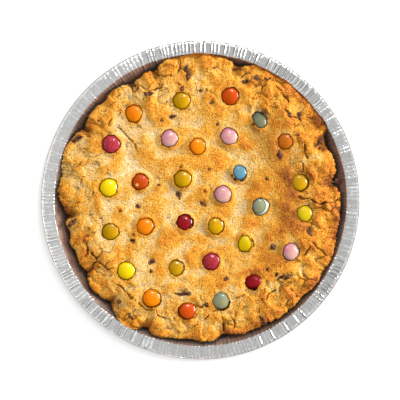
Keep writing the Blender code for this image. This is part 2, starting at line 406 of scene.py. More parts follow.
def foilLook():
    look = Look("foil")
    across, upward = look.axes("X", "Z")
    radius = look.away(0.0, 0.0)
    wall = 1.0 - radius.between(dish["mouthRadius"] - 0.5 * mm, dish["mouthRadius"] + 0.3 * mm)
    # the wall's brown tint: baked-on grease, and partly a painted reflection of the cookie's brown side
    stainAndReflection = wall * (0.62 + 0.38 * look.speckle(0.012)) * upward.between(0.002, 0.006)
    grease = look.speckle(0.004, 4.0)
    # random mottle, and painted light: the foil is lighter in colour on the west side than towards the east
    light = 0.40 * look.speckle(0.014) + 0.9 * look.speckle(0.0016) - 0.4 * across.between(-0.11, 0.03)
    clean = look.mix(light + 0.15, *dish["bare"])
    # painted shade along the folds' creases
    creased = look.attribute("crease").between(0.25, 1.0) * 0.75
    rim = dishHigh.x + dish["flangeBeyond"]
    # the rolled lip round the rim: darker in colour as painted shade, and rougher
    lip = radius.between(rim - 1.1 * mm, rim - 0.7 * mm)
    clean = look.mix(lip * 0.8, clean, dish["lipPaintedShade"])
    tinted = look.mix(grease, *dish["greaseAndPaintedReflection"])
    # near black beside the cookie: a painted shadow in the gap
    tinted = look.mix(look.attribute("crevice"), tinted, dish["crevicePaintedShadow"])
    stainedAndReflecting = look.mix(stainAndReflection, clean, tinted)
    look.feed(look.skin, {
        "Base Color": look.mix(creased, stainedAndReflecting, dish["creasePaintedShade"], "MULTIPLY"),
        "Metallic": 1.0 - 0.6 * stainAndReflection,
        "Roughness": 0.10 + 0.09 * look.speckle(0.006) + 0.18 * wall + 0.35 * lip,
        "Normal": look.bump(look.speckle(0.0018, 4.0), 0.00016, look.bump(look.speckle(0.009, 2.0), 0.0006)),
    })
    return look


def makeDish():
    spokes = dishSpokes()
    bm = bmesh.new()
    creviceLayer = bm.verts.layers.float.new("crevice")
    creaseLayer = bm.verts.layers.float.new("crease")
    points = [bm.verts.new((radius, 0.0, high)) for radius, high in dishProfile()]
    edges = [bm.edges.new(pair) for pair in zip(points, points[1:])]
    turn = {"cent": (0, 0, 0), "axis": (0, 0, 1), "angle": 2 * math.pi, "steps": len(spokes)}
    bmesh.ops.spin(bm, geom=points + edges, use_merge=True, **turn)
    bmesh.ops.remove_doubles(bm, verts=bm.verts, dist=0.000001)
    base, mouth, rim = dish["baseRadius"], dish["mouthRadius"], dishHigh.x + dish["flangeBeyond"]
    for vert in bm.verts:
        x, y, z = vert.co
        radius = math.hypot(x, y)
        if radius < 0.001:
            continue
        spoke = round((math.atan2(y, x) % (2 * math.pi)) / (2 * math.pi) * len(spokes)) % len(spokes)
        angle, high, inWall, skew, creased = spokes[spoke]
        # the painted shadow in the gap follows the cookie's outline
        beyond = (radius - outlineAt(angle)) / dish["creviceWide"]
        vert[creviceLayer] = 1.0 - ease((beyond - 0.35) / 0.65) if radius < mouth - 0.3 * mm else 0.0
        angle += skew * (radius - mouth) / (rim - mouth) * ease((radius - mouth) / mm)
        pressed = 1.0 - 0.5 * ease((radius - rim + 1.6 * mm) / (0.8 * mm))
        onRim = ease((radius - mouth) / (0.8 * mm)) * pressed
        onWall = ease((radius - base) / (mouth - base) / 0.9) * (1.0 - ease((radius - mouth) / (0.6 * mm)))
        z += high * dish["foldHigh"] * onRim
        # how much painted shade its crease gets
        vert[creaseLayer] = creased * (onRim + onWall)
        radius -= inWall * dish["foldInWall"] * onWall
        around = Vector((math.cos(angle), math.sin(angle), 0.0))
        dent = noise.noise(around * 9.0 + Vector((0, 0, z * 90.0)))
        radius += dish["dent"] * dent * onWall
        outward = ease((radius - mouth + 0.002) / 0.003)
        z += (dish["rimWave"] * noise.noise(around * 2.6) - dish["rimDrop"]) * outward
        radius += 0.9 * dish["wobble"] * noise.noise(around * 5.0) * outward
        vert.co = around * radius + Vector((0, 0, z))
    bmesh.ops.recalc_face_normals(bm, faces=bm.faces)
    underside = min(bm.faces, key=lambda face: face.calc_center_median().length)
    if underside.normal.z < 0:
        bmesh.ops.reverse_faces(bm, faces=bm.faces)
    piece = newPiece("pressed_foil", bm, foilLook(), "foil", "foil_dish")
    smooth(piece.data, dish["sharpFrom"])
    sheet = piece.modifiers.new("sheet", "SOLIDIFY")
    sheet.thickness = dish["foil"]
    sheet.offset = -1.0


# The cookie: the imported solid's form with the baked crust's lobes, plates and grain on it
cookie = {
    "radius": 0.1028,
    "top": 0.0272,
    "edgeDrop": 0.0028,
    "edgeRounding": 0.0034,
    "raisedRing": 0.0014,
    "broadRise": 0.0011,
    "broadSpan": 0.0240,
    "lumpRise": 0.0009,
    "edgeLumpRise": 0.0016,
    "lumpSpan": 0.0095,
    "dimpleDepth": 0.0007,
    "dimpleReach": 0.0115,
    "dishRise": 0.030,
    "clear": 0.0004,  # from the dish's own middle line
    "crownRise": 0.0014,  # how much higher the crust's broad ring stands than in the solid
    "crownDrop": 0.0007,
    "sideRings": ((12.0 * mm, 0.0), (4.0 * mm, 0.0), (1.1 * mm, 2.2 * mm)),  # height, how far in
    "sideDark": 0.35,
    "sideToast": 0.85,
    "sharpFrom": 60,  # degrees
    "cells": 288,
}
crust = {
    "raggedRise": 0.8 * mm,  # of the outline
    "raggedSpan": 5.0 * mm,
    "notchDeep": 3.0 * mm,  # of the clefts that run in from the outline's notches
    "notchFull": 3.2 * mm,
    "crackDeep": 0.7 * mm,  # of the fine ones between plates
    "splitDeep": 1.4 * mm,  # of the long ones listed below
    # how dark their painted shade is
    "splitDark": 0.9,
    "raggedFine": 0.7 * mm,
    "outlineOut": 0.6,  # pixels that smoothing the outline takes off
    "overMouth": 1.9 * mm,  # past the wall's own line
    "warp": 2.2 * mm,
    "warpSpan": 7.0 * mm,
    "moundRise": 0.9 * mm,
    "moundSpan": 14.0 * mm,
    "lobeRise": 2.0 * mm,
    "lobeSpan": 10.5 * mm,
    "slabRise": 1.1 * mm,  # of the plates that the crust has split into
    "slabStep": 1.6 * mm,
    "slabSpan": 12.0 * mm,
    "lumpRise": 0.48 * mm,
    "lumpSpan": 5.5 * mm,
    "plateRise": 0.65 * mm,
    "plateSpan": 13.0 * mm,
    "flakeRise": 0.22 * mm,
    "flakeSpan": 6.5 * mm,
    "bumpRise": 0.17 * mm,
    "bumpSpan": 3.0 * mm,
    "grainRise": 0.08 * mm,
    "grainSpan": 1.7 * mm,
}
# The outline as the photograph shows it: angle, pixels from the dish's middle
outlinePoints = [
    (0.8, 140.8), (4.4, 138.2), (7, 134.0), (9, 134.5), (11.8, 138.9), (15, 139.5), (19, 139.5),
    (23.8, 137.0), (27, 139.8), (29.8, 145.1), (32.8, 147.0), (35.5, 145.8), (37, 144.8), (40, 145.1),
    (43, 146.4), (46, 144.9), (49.6, 145.1), (53.2, 147.2), (56.2, 145.8), (60, 145.1), (64, 145.1),
    (67, 145.5), (70, 143.3), (73.6, 139.4), (75.4, 139.9), (77.2, 142.0), (80.8, 143.9), (84.4, 144.5),
    (88, 146), (92.8, 146), (96.4, 144.5), (100, 143.9), (103.6, 144.3), (106, 142.6), (109, 138.3),
    (110, 136.4), (112, 139.3), (114.4, 138.5), (116.2, 136.2), (118.6, 136.8), (121, 135.0), (124, 139.3),
    (127.6, 140.1), (131.2, 139.8), (134.2, 137.2), (137.2, 139.8), (142, 139.8), (145.6, 138.3),
    (148.6, 136.6), (151, 140.8), (154, 142), (158.8, 144.3), (163.6, 143.9), (166.6, 143.3),
    (170.2, 140.8), (172, 142), (175.6, 142.6), (179.2, 142), (182.2, 138.3), (185.8, 135.8), (187, 132.5),
    (189.4, 137), (192.4, 135.8), (194.8, 134.5), (197.2, 137.6), (200.8, 136.6), (204.4, 135.1),
    (208, 136.8), (211, 135.8), (212.2, 133.8), (214, 137), (217.6, 139.8), (220, 139.8), (224, 139.5),
    (227, 138.3), (228.2, 136.2), (230.6, 140.8), (234.8, 143.9), (238.4, 146), (242, 145.5),
    (244.7, 142.6), (246.5, 139), (248, 140.3), (249.8, 143), (252.8, 143), (257, 142), (263, 140.8),
    (266.6, 139.3), (269, 141.4), (274.4, 142), (277.4, 138.9), (280.4, 136.6), (284, 138.3),
    (288.2, 140.1), (293.6, 140.1), (298.4, 138.9), (300.8, 140.8), (303.8, 142), (308, 140.8),
    (312.8, 141.4), (317, 140.1), (320, 142.2), (323, 143.3), (326, 143.3), (329, 142), (332, 142.6),
    (335.6, 143.5), (339.2, 143), (344, 141.4), (350, 140.1), (356, 140.8),
]
button = {
    "radius": 6.8 * mm,
    "halfHeight": 3.3 * mm,
    "socketGap": 0.52 * mm,
    # how dark the painted shade on the sockets' walls is
    "socketDark": 1.0,
    "collarReach": 4.2 * mm,
    "collarRagged": 0.35 * mm,
    "sides": 56,
    "rings": 44,
    "waveHigh": 0.07 * mm,  # the shell's own unevenness
    "waveSpan": 6.0 * mm,
    "northGlint": (0.15, 0.60, 0.36),  # across and up from its middle and how wide, in radii
    "eastGlint": (0.50, 0.20, 0.8),  # from where, over how far, how strong
    "joinPaintedShade": (0.16, 0.12, 0.08),  # painted shade where the shell meets the dough
}
socketSize = [button[half] + button["socketGap"] for half in ("radius", "radius", "halfHeight")]
# Each button's opening in the crust: pixels across it, how oval it is, the angle of its long axis
openings = [
    (17.7, 0.02, 0), (18.0, 0.02, 40), (17.7, 0.03, 100), (15.6, 0.13, 125), (18.6, 0.0, 0),
    (17.7, 0.02, 60), (16.8, 0.04, 90), (17.7, 0.05, 150), (15.6, 0.04, 100), (14.6, 0.07, 115),
    (18.7, 0.02, 90), (17.0, 0.03, 45), (18.0, 0.02, 0), (17.3, 0.02, 90), (17.9, 0.02, 120),
    (17.7, 0.03, 60), (16.5, 0.03, 90), (17.2, 0.03, 0), (17.5, 0.02, 45), (15.6, 0.04, 80),
    (16.8, 0.03, 110), (15.2, 0.12, 85), (17.9, 0.04, 60), (18.3, 0.0, 0), (15.7, 0.03, 90),
    (17.6, 0.02, 45), (14.9, 0.13, 20), (18.7, 0.02, 0), (17.4, 0.04, 20), (17.2, 0.03, 90),
]
chip = {
    "corners": 9,
    "rounding": 0.12,
    "brokenFrom": 2.7,  # half length in millimetres from which it is in two parts
    "partSize": 0.64,
    "partsApart": 1.9,
    "shape": (1.8, 1.1, 0.75),
    "sunk": 0.42,
    "belowTop": 0.3 * mm,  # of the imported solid
    "swelling": (2.8, -0.4 * mm, 0.16, -0.10),  # millimetres past it, how deep, darker, browner
    # the hollow round each chip, in the same order; its darkening is painted shade
    "hollow": (0.8, 1.3 * mm, 0.65, 0.0),
    "sharpFrom": 50,  # degrees
    "seed": 5,
}
# Each chip: pixel across, pixel down, its half length in millimetres
chips = [
    (188.7, 73.4, 3.7), (148.0, 94.9, 2.9), (212.1, 102.2, 2.8), (246.4, 81.3, 2.9), (258.1, 79.6, 2.5),
    (299.4, 115.2, 3.2), (319.5, 142.1, 2.9), (278.8, 155.0, 2.5), (336.0, 181.5, 3.2), (267.0, 179.0, 1.6),
    (171.0, 116.7, 2.9), (76.6, 139.1, 3.1), (178.1, 194.6, 2.9), (203.0, 203.5, 3.2), (137.4, 206.8, 2.5),
    (132.6, 242.1, 2.5), (151.5, 261.7, 2.9), (183.4, 292.4, 3.9), (131.9, 318.5, 2.9), (72.1, 222.4, 2.9),
    (225.6, 279.3, 2.5), (267.2, 269.5, 1.6), (285.3, 277.4, 3.9), (309.5, 230.3, 3.6), (273.5, 247.5, 2.6),
    (262.0, 320.0, 3.0), (182.2, 87.8, 1.7), (200.5, 90.8, 1.4), (98.4, 120.8, 1.3), (161.5, 120.3, 1.6),
    (204.6, 191.5, 1.6), (180.6, 167.2, 1.5), (265.2, 111.4, 1.6), (290.0, 115.0, 1.6), (217.4, 123.8, 1.3),
    (151.0, 271.7, 1.5), (119.7, 211.0, 1.4), (132.9, 235.4, 1.5), (118.5, 301.8, 1.4), (206.8, 305.3, 1.5),
    (276.4, 274.7, 1.5), (158.3, 185.2, 1.4), (208.8, 169.1, 1.5), (242.8, 235.7, 1.3),
]
# Each crack, as pixels along it, and its half width in millimetres
cracks = [
    ([(99, 261), (103, 266), (107, 269), (112, 269), (116, 268)], 0.50),
    ([(92, 253), (95, 258), (96, 262), (90, 270), (86, 274)], 0.50),
    ([(87, 243), (88, 251), (84, 258)], 0.50),
    ([(93, 268), (98, 273)], 0.35),
    ([(117, 285), (122, 288), (127, 293), (130, 297), (136, 301)], 0.50),
    ([(138, 303), (145, 309), (156, 311), (158, 315), (166, 319)], 0.45),
    ([(196, 307), (200, 308), (203, 304), (207, 303)], 0.50),
    ([(203, 320), (208, 316), (213, 312), (217, 309)], 0.50),
    ([(183, 322), (188, 321), (194, 318), (198, 313)], 0.45),
    ([(231, 300), (240, 297), (246, 294), (250, 291)], 0.35),
    ([(221, 318), (224, 325), (224, 332)], 0.55),
    ([(231, 316), (234, 323), (234, 328)], 0.50),
    ([(266, 300), (268, 296), (271, 292), (276, 290)], 0.45),
    ([(303, 257), (306, 254), (309, 249), (311, 245)], 0.55),
    ([(314, 243), (318, 248), (323, 253), (328, 256)], 0.55),
    ([(291, 288), (295, 292), (297, 298)], 0.50),
    ([(281, 93), (283.4, 95.8), (286.2, 98.2), (288.7, 102.5)], 0.60),
    ([(284, 109), (287.6, 111.6), (288.8, 115.2), (292.4, 117), (298, 118)], 0.50),
    ([(276.8, 85.8), (278, 88.8), (281.6, 91.2)], 0.40),
    ([(264, 77), (267, 79), (272, 77)], 0.50),
    ([(306.8, 100.8), (311.6, 105.6), (315.8, 109.8)], 0.60),
    ([(303.5, 141), (305.5, 146), (305, 152), (307.5, 158)], 0.60),
    ([(303, 164), (302.4, 168), (302, 173)], 0.60),
    ([(300, 197), (312, 200), (318, 204), (330, 203), (339, 200)], 0.65),
    ([(314, 219), (313, 225), (310, 228)], 0.40),
    ([(149, 92), (155, 90), (160, 89), (163, 86)], 0.45),
    ([(173, 77), (175, 83), (180, 86)], 0.40),
    ([(154, 71), (158, 75), (166, 76), (172, 75)], 0.40),
    ([(206, 88), (208, 90), (212, 91)], 0.45),
    ([(119, 127), (124, 133), (133, 143), (137, 151)], 0.40),
    ([(108, 126), (109, 122), (113, 118)], 0.35),
    ([(81, 183), (82, 179), (85, 176)], 0.35),
]


def easeAll(share):
    share = np.clip(share, 0.0, 1.0)
    return share * share * (3.0 - 2.0 * share)


def outlineRadius(angle):
    # the measured outline, with the crust's own ragged lobes on it, inside the dish's wall
    turn = math.degrees(angle)
    angles, reaches = zip(*outlinePoints)
    smooth = sum(np.interp(turn + shift, angles, reaches, period=360) for shift in (-0.7, 0.0, 0.7)) / 3
    edge = Vector((math.cos(angle), math.sin(angle), 0.0)) * cookie["radius"]
    radius = (smooth + crust["outlineOut"]) * pixel
    radius += crust["raggedRise"] * (abs(noise.noise(edge / crust["raggedSpan"])) - 0.2)
    radius += crust["raggedFine"] * noise.noise(edge / (0.3 * crust["raggedSpan"]))
    return min(radius, dish["baseRadius"] + wallRun * cookie["top"] + crust["overMouth"])


wallRun = (dish["mouthRadius"] - dish["baseRadius"]) / cookie["dishRise"]
outlineSteps = 3600
outline = np.array([outlineRadius(2 * math.pi * step / outlineSteps) for step in range(outlineSteps)])


def outlineNotches():
    # how deep each point of the outline lies behind the lobes at both sides of it
    furthest = np.max([np.roll(outline, shift) for shift in range(-50, 51, 2)], axis=0)
    smooth = np.mean([np.roll(furthest, shift) for shift in range(-40, 41, 4)], axis=0)
    return np.clip((smooth - outline) / crust["notchFull"] - 0.1, 0.0, 1.0)


notches = outlineNotches()


def outlineAt(angle, table=outline):
    return table[round(angle / (2 * math.pi) * outlineSteps) % outlineSteps]


def doughHeight(x, y, radius, edge):
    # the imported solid's own top, out to an edge this far from the middle
    share = radius / cookie["radius"]
    height = cookie["top"] + cookie["raisedRing"] * ease((share - 0.35) / 0.5)
    height += (cookie["crownRise"] + cookie["crownDrop"]) * ease((share - 0.30) / 0.55) - cookie["crownDrop"]
    height += cookie["broadRise"] * noise.noise(Vector((x, y, 0.013)) / cookie["broadSpan"])
    lumps = cookie["lumpRise"] + (cookie["edgeLumpRise"] - cookie["lumpRise"]) * ease((share - 0.6) / 0.35)
    height += lumps * noise.noise(Vector((x, y, 0.031)) / cookie["lumpSpan"])
    inward = min(1.0, max(0.0, (edge - radius) / cookie["edgeRounding"]))
    return height - cookie["edgeDrop"] * (1.0 - math.sqrt(1.0 - (1.0 - inward) ** 2))


def step(place, span, wide, shift):
    # 1 on a raised plate and 0 beside it, with a rough steep edge between them
    value = noise.noise(place / span + shift) + 0.3 * noise.noise(place / (0.27 * span) + shift)
    return ease(0.5 + value / wide)


def crustHeight(x, y, share):
    # the crust's relief, how browned it is, and how dark, which is painted shade on steep plate edges and in
    # cracks
    here = Vector((x, y, 0.0))
    place = here + crust["warp"] * noise.noise_vector(here / crust["warpSpan"])
    outer = ease((share - 0.62) / 0.26)
    patch = ease(0.5 + 1.6 * noise.noise(here / 0.028))
    rough = 0.10 + 0.30 * patch + 0.40 * outer
    lobe = abs(noise.noise(place / crust["lobeSpan"]))
    lump = abs(noise.noise(place / crust["lumpSpan"] + Vector((3.1, 0, 0))))
    plate = step(place, crust["plateSpan"], 0.14, Vector((0, 5.3, 0)))
    flake = step(place, crust["flakeSpan"], 0.18, Vector((0, 0, 7.7)))
    height = crust["lobeRise"] * outer * (lobe - 0.22) + crust["lumpRise"] * rough * (lump - 0.2)
    height += rough * (crust["plateRise"] * (plate - 0.5) + crust["flakeRise"] * (flake - 0.5))
    steep = max(plate * (1.0 - plate), 0.6 * flake * (1.0 - flake)) * 4.0
    distances, points = noise.voronoi(place / crust["slabSpan"])
    fromEdge = distances[1] - distances[0]
    split = ease(0.10 + 2.4 * noise.noise(here / 0.013 + Vector((2.0, 0, 0))))
    slab = ease(fromEdge / 0.45) * (0.35 + 0.65 * split)
    level = noise.noise(points[0] * 2.7) * ease(fromEdge / 0.22)
    height += outer * (crust["slabRise"] * (slab - 0.5) + crust["slabStep"] * level)
    # painted shade on the plates' steep edges
    dark = 0.35 * steep * rough * ease(0.1 + 1.8 * noise.noise(here / 0.015))
    # fine cracks between plates, sunk and darkened as painted shade
    cracked = outer * split * (1.0 - ease(fromEdge / 0.08))
    height -= crust["crackDeep"] * cracked
    dark += 0.6 * cracked
    toast = 0.14 * (plate - 0.5) * rough + 0.14 * noise.noise(here / 0.017 + Vector((9.0, 0, 0)))
    mound = noise.noise(here / crust["moundSpan"] + Vector((0, 0, 4.4)))
    mound += 0.4 * noise.noise(place / (0.45 * crust["moundSpan"]))
    return height, toast, dark, mound


def discPoint(u, v):
    # a point of the square grid on the cookie's round top: its radius and angle
    share = max(abs(u), abs(v))
    if share == 0.0:
        return 0.0, 0.0
    if abs(u) >= abs(v):
        angle = math.pi / 4 * v / u + (0.0 if u > 0 else math.pi)
    else:
        angle = math.pi / 2 - math.pi / 4 * u / v + (0.0 if v > 0 else math.pi)
    return share * outlineAt(angle), angle


def buttonPlaces():
    # each button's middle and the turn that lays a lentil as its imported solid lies
    places = {}
    for name, node in frame["nodes"].items():
        if not name.startswith("button"):
            continue
        points = np.array([vert.co for vert in node.data.vertices])
        middle = (points.min(axis=0) + points.max(axis=0)) / 2
        spread = np.linalg.eigh(np.cov((points - middle).T))[1]
        axis = Vector(spread[:, 0])
        if axis.z < 0:
            axis.negate()
        turn = Vector((0, 0, 1)).rotation_difference(axis).to_matrix().to_4x4()
        places[name] = Matrix.Translation(Vector(middle)) @ turn
    return places


def lentil(bm, matrix, radius, halfHeight, sides, rings):
    made = bmesh.ops.create_uvsphere(bm, u_segments=sides, v_segments=rings, radius=1.0)["verts"]
    size = Matrix.Diagonal((radius, radius, halfHeight, 1.0))
    bmesh.ops.transform(bm, matrix=matrix @ size, verts=made)


places = buttonPlaces()
# Which way the gap beside a button is wider, in millimetres, by its number
gaps = {
    2: (0.2, 0.2), 4: (0.1, 0.3), 10: (0.2, -0.3), 14: (0.8, -0.2), 19: (0.3, 0.1), 20: (0.4, 0.2),
    21: (0.3, 0.0), 25: (0.4, 0.2), 27: (-0.2, -0.3), 28: (0.2, -0.3), 29: (-0.5, -0.2), 30: (0.5, -0.6),
}


def number(name):
    return int(name[-2:])


def socketPlace(name):
    x, y = gaps.get(number(name), (0.0, 0.0))
    return Matrix.Translation(Vector((x * mm, y * mm, 0.0))) @ places[name]


def openingRadius(opening, angle, x, y):
    across, oval, turn = opening
    radius = across / 2 * pixel * (1.0 + oval * np.cos(2 * (angle - math.radians(turn))))
    for waves, share in ((3, 0.5), (5, 0.3), (8, 0.35)):
        radius += button["collarRagged"] * share * np.cos(waves * angle + 50.0 * x * waves + 90.0 * y)
    return radius


class Dough:
    # the cookie's top as arrays that brushes press into, and then as a mesh
    def __init__(self):
        self.bm = bmesh.new()
        self.toastLayer = self.bm.verts.layers.float.new("toast")
        self.darkLayer = self.bm.verts.layers.float.new("dark")
        self.outerLayer = self.bm.verts.layers.float.new("outer")
        cells = cookie["cells"]
        bmesh.ops.create_grid(self.bm, x_segments=cells, y_segments=cells, size=1.0)
        self.rim = [edge for edge in self.bm.edges if edge.is_boundary]
        self.top = list(self.bm.verts)
        self.side = round(math.sqrt(len(self.top)))
        rows = [self.start(vert.co.x, vert.co.y) for vert in self.top]
        self.x, self.y, self.high, self.share, self.toast, self.dark, self.mound = np.array(rows).T

    def start(self, u, v):
        radius, angle = discPoint(u, v)
        edge = outlineAt(angle)
        x, y = radius * math.cos(angle), radius * math.sin(angle)
        height, toast, dark, mound = crustHeight(x, y, radius / edge)
        height += doughHeight(x, y, radius, edge)
        notch = outlineAt(angle, notches)
        height -= crust["notchDeep"] * notch * ease((radius / edge - 0.86) / 0.14)
        # painted shade in the clefts behind the outline's notches
        dark += 0.6 * ease((notch - 0.5) / 0.4) * ease((radius / edge - 0.90) / 0.06)
        height = max(height, (radius + cookie["clear"] - dish["baseRadius"]) / wallRun)
        return x, y, height, radius / edge, toast, dark, mound

    def swell(self):
        # golden mounds between pale hollows, which lie round the buttons
        hollow = np.zeros(len(self.x))
        for matrix in places.values():
            x, y, _ = matrix.translation
            away = np.hypot(self.x - x, self.y - y) / cookie["dimpleReach"]
            hollow = np.maximum(hollow, np.exp(-away * away))
        inner = 1.0 - easeAll((self.share - 0.72) / 0.2)
        full = easeAll(0.56 + 1.1 * self.mound - 0.32 * hollow * inner)
        self.high += crust["moundRise"] * (full - 0.5) * (0.4 + 0.6 * inner)
        self.toast += (0.25 * full - 0.135) * (0.35 + 0.65 * inner)

    def fade(self, x, y, reach):
        return easeAll(1.0 - np.hypot(self.x - x, self.y - y) / reach)

    def press(self, x, y, reach, depth, dark=0.0, toast=0.0):
        # a round thumb mark, or a swelling where depth is negative
        fade = self.fade(x, y, reach)
        self.high -= depth * fade
        self.dark = np.maximum(self.dark, dark * fade)
        self.toast += toast * fade

    def collar(self, matrix, opening):
        # bring the dough to the button's shell all round the opening that shows it
        x, y, z = matrix.translation
        aside, along = self.x - x, self.y - y
        away = np.hypot(aside, along)
        near = np.flatnonzero(away < button["radius"] + button["collarReach"])
        aside, along, away = aside[near], along[near], away[near]
        angle = np.arctan2(along, aside)
        radius = openingRadius(opening, angle, x, y)
        # where a line straight down meets the shell
        turned = np.array(matrix.to_3x3().inverted())
        flat = np.column_stack([radius * np.cos(angle), radius * np.sin(angle), np.zeros(len(near))])
        start = flat @ turned.T / socketSize
        down = turned[:, 2] / socketSize
        a, b, c = down @ down, start @ down, (start * start).sum(axis=1) - 1.0
        touch = z + (np.sqrt(np.maximum(0.0, b * b - a * c)) - b) / a
        fade = easeAll((away - radius) / button["collarReach"])
        level = touch - 0.6 * np.maximum(0.0, radius - away)
        self.high[near] = level + (self.high[near] - level) * fade

    def crack(self, line, half, depth, dark):
        # a groove along a line that wanders a little, darkened with painted shade
        corners = [Vector((*spot(*point), 0.0)) for point in line]
        nearest = np.full(len(self.x), 9.0)
        for start, end in zip(corners, corners[1:]):
            steps = max(2, int((end - start).length / (0.5 * mm)))
            for share in range(steps):
                at = start.lerp(end, share / steps)
                at += 1.3 * mm * noise.noise_vector(at / 0.004)
                wide = 2.0 * half * max(0.35, 0.8 + 1.2 * noise.noise(at / 0.005))
                nearest = np.minimum(nearest, np.hypot(self.x - at.x, self.y - at.y) / wide)
        fade = easeAll(1.0 - nearest)
        self.high -= depth * fade
        self.dark = np.maximum(self.dark, dark * fade)

    def soften(self, heights, times):
        grid = heights.reshape(self.side, self.side)
        for _ in range(times):
            near = [np.roll(grid, shift, axis) for shift in (-1, 1) for axis in (0, 1)]
            grid = (grid + sum(near)) / 5.0
        return grid.ravel()

    def shape(self):
        # onto the mesh, with small bumps and grain out along each point's own normal
        for vert, x, y, high in zip(self.top, self.x, self.y, self.high):
            vert.co = (x, y, high)
        self.bm.normal_update()
        for vert, share in zip(self.top, self.share):
            bump = noise.fractal(vert.co / crust["bumpSpan"], 0.8, 2.0, 2)
            grain = noise.noise(vert.co / crust["grainSpan"])
            rough = 0.8 + 0.2 * ease((share - 0.6) / 0.3)
            vert.co += vert.normal * (crust["bumpRise"] * bump * rough + crust["grainRise"] * grain)
            vert.co.z = min(vert.co.z, cadBox[1].z)

    def colour(self):
        # high spots are browner and hollows paler, but deep hollows get painted shade
        high = np.array([vert.co.z for vert in self.top])
        small = np.clip((high - self.soften(high, 12)) / (0.28 * mm), -1.0, 1.0)
        large = np.clip((high - self.soften(high, 90)) / (0.9 * mm), -1.0, 1.0)
        outer = easeAll((self.share - 0.74) / 0.26)
        lowerRight = easeAll(0.5 + (0.87 * self.x - 0.5 * self.y) / 0.16)
        brim = easeAll((self.share - 0.88) / 0.10) * (0.5 + 0.5 * lowerRight)
        # browner towards the east, paler towards the west: partly the bake, partly painted light and shade of
        # the broad slopes
        side = easeAll(0.5 + self.x / 0.2) - 0.5
        toast = 0.40 + 0.03 * outer + 0.13 * brim + (0.10 + 0.12 * outer) * side + self.toast
        toast += 0.06 * small + 0.12 * large
        dark = self.dark + 0.35 * easeAll(-small - 0.4) + 0.2 * easeAll(-large - 0.4) * outer
        for across, down, reach, browner, darker in toneAndShadeSpots:
            fade = self.fade(*spot(across, down), reach * pixel)
            toast += browner * fade
            dark += darker * fade
        for vert, brown, deep, share in zip(self.top, toast, dark, self.share):
            vert[self.toastLayer] = brown
            vert[self.darkLayer] = min(1.0, max(0.0, deep))
            vert[self.outerLayer] = ease((share - 0.45) / 0.3)

    def sides(self):
        # down beside the dish's wall, and the flat bottom
        for z, inset in cookie["sideRings"]:
            made = bmesh.ops.extrude_edge_only(self.bm, edges=self.rim)["geom"]
            self.rim = [item for item in made if isinstance(item, bmesh.types.BMEdge)]
            for vert in [item for item in made if isinstance(item, bmesh.types.BMVert)]:
                angle = math.atan2(vert.co.y, vert.co.x)
                wall = dish["baseRadius"] + wallRun * z - cookie["clear"]
                radius = min(outlineAt(angle), wall) - inset
                vert.co = (radius * math.cos(angle), radius * math.sin(angle), z)
                vert[self.darkLayer] = cookie["sideDark"]
                vert[self.toastLayer] = cookie["sideToast"]
        bmesh.ops.edgeloop_fill(self.bm, edges=self.rim)
        bmesh.ops.recalc_face_normals(self.bm, faces=self.bm.faces)


# Where the crust is browner and darker, partly its bake and partly painted light and shade on the broad
# slopes: pixel across, pixel down, reach in pixels, how much of each
toneAndShadeSpots = [
    (100, 165, 60, -0.04, 0.0), (165, 190, 70, -0.02, 0.0), (294, 202, 38, 0.05, 0.34),
    (288, 166, 36, 0.03, 0.38), (268, 139, 32, 0.02, 0.44), (285, 235, 36, 0.07, 0.18),
    (256, 262, 36, 0.10, 0.16), (270, 93, 12, 0.16, 0.0), (319, 122, 12, 0.12, 0.0),
    (262, 256, 11, 0.16, 0.0), (190, 240, 24, 0.05, 0.03), (232, 130, 20, -0.06, 0.0),
    (140, 150, 24, -0.05, 0.0), (81, 243, 14, 0.10, 0.20), (103, 282, 14, 0.10, 0.25),
    (98, 236, 12, -0.15, -0.10), (116, 271, 12, -0.15, -0.10), (320, 157, 13, -0.16, 0.0),
    (240, 66, 12, -0.10, -0.1), (284, 214, 9, 0.20, 0.06), (256, 224, 9, 0.24, 0.04),
    (182, 296, 12, -0.10, 0.0), (92, 262, 17, 0.10, 0.26), (160, 236, 22, 0.10, 0.06),
    (214, 206, 13, -0.12, 0.0), (132, 95, 20, -0.24, 0.0), (95, 160, 20, -0.20, 0.0),
    (300, 282, 17, -0.22, 0.0), (222, 325, 13, -0.24, 0.0), (228, 176, 15, -0.10, 0.0),
    (173, 176, 13, -0.12, 0.0), (153, 118, 13, -0.10, 0.0),
]


